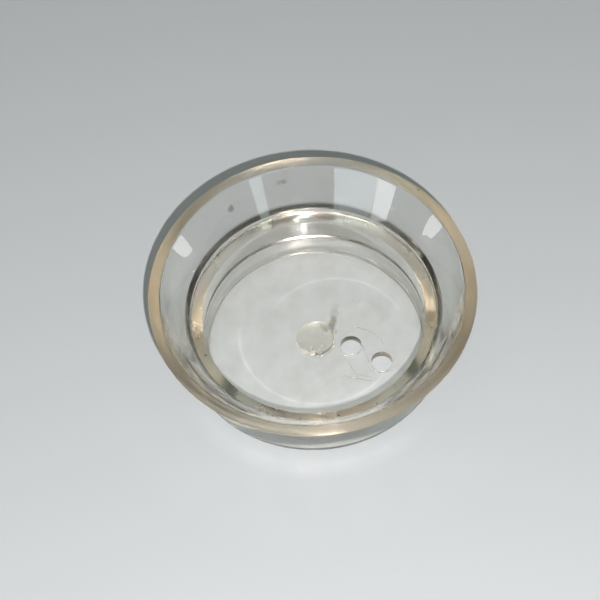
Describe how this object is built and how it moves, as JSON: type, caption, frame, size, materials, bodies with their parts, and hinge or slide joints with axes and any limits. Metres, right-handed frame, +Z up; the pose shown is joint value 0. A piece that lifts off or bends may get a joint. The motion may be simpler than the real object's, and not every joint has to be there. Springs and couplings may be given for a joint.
{
  "type": "sampler cup",
  "caption": "Clear plastic cup with a flared mouth over a plain round lower cup, a flat floor with plain through-holes and a low round pad at its centre.",
  "frame": {"origin": "centre of the foot, on the surface that the cup stands on", "axes": "+Z up along the cup's axis towards the mouth, +X along the line through the two holes, from the axis towards the holes"},
  "size_m": [0.0558, 0.0558, 0.0183],
  "materials": {
    "collar_plastic": "clear acrylic, slightly yellowed, with a sawn and sanded rim face",
    "cup_plastic": "clear acrylic, slightly yellowed, with fine turning marks",
    "floor_plastic": "clear acrylic, scuffed and finely scratched",
    "pad_plastic": "clear plastic with small bubbles and crazing",
    "clear_cement": "clear solvent cement",
    "aged_cement": "old cement, browned at its edge"
  },
  "bodies": {
    "root": {"flared_collar": "collar_plastic", "cup_wall": "cup_plastic", "floor_disc": "floor_plastic", "centre_pad": "pad_plastic", "collar_cement": "clear_cement", "floor_cement": "clear_cement", "pad_cement": "aged_cement"}
  },
  "joints": []
}
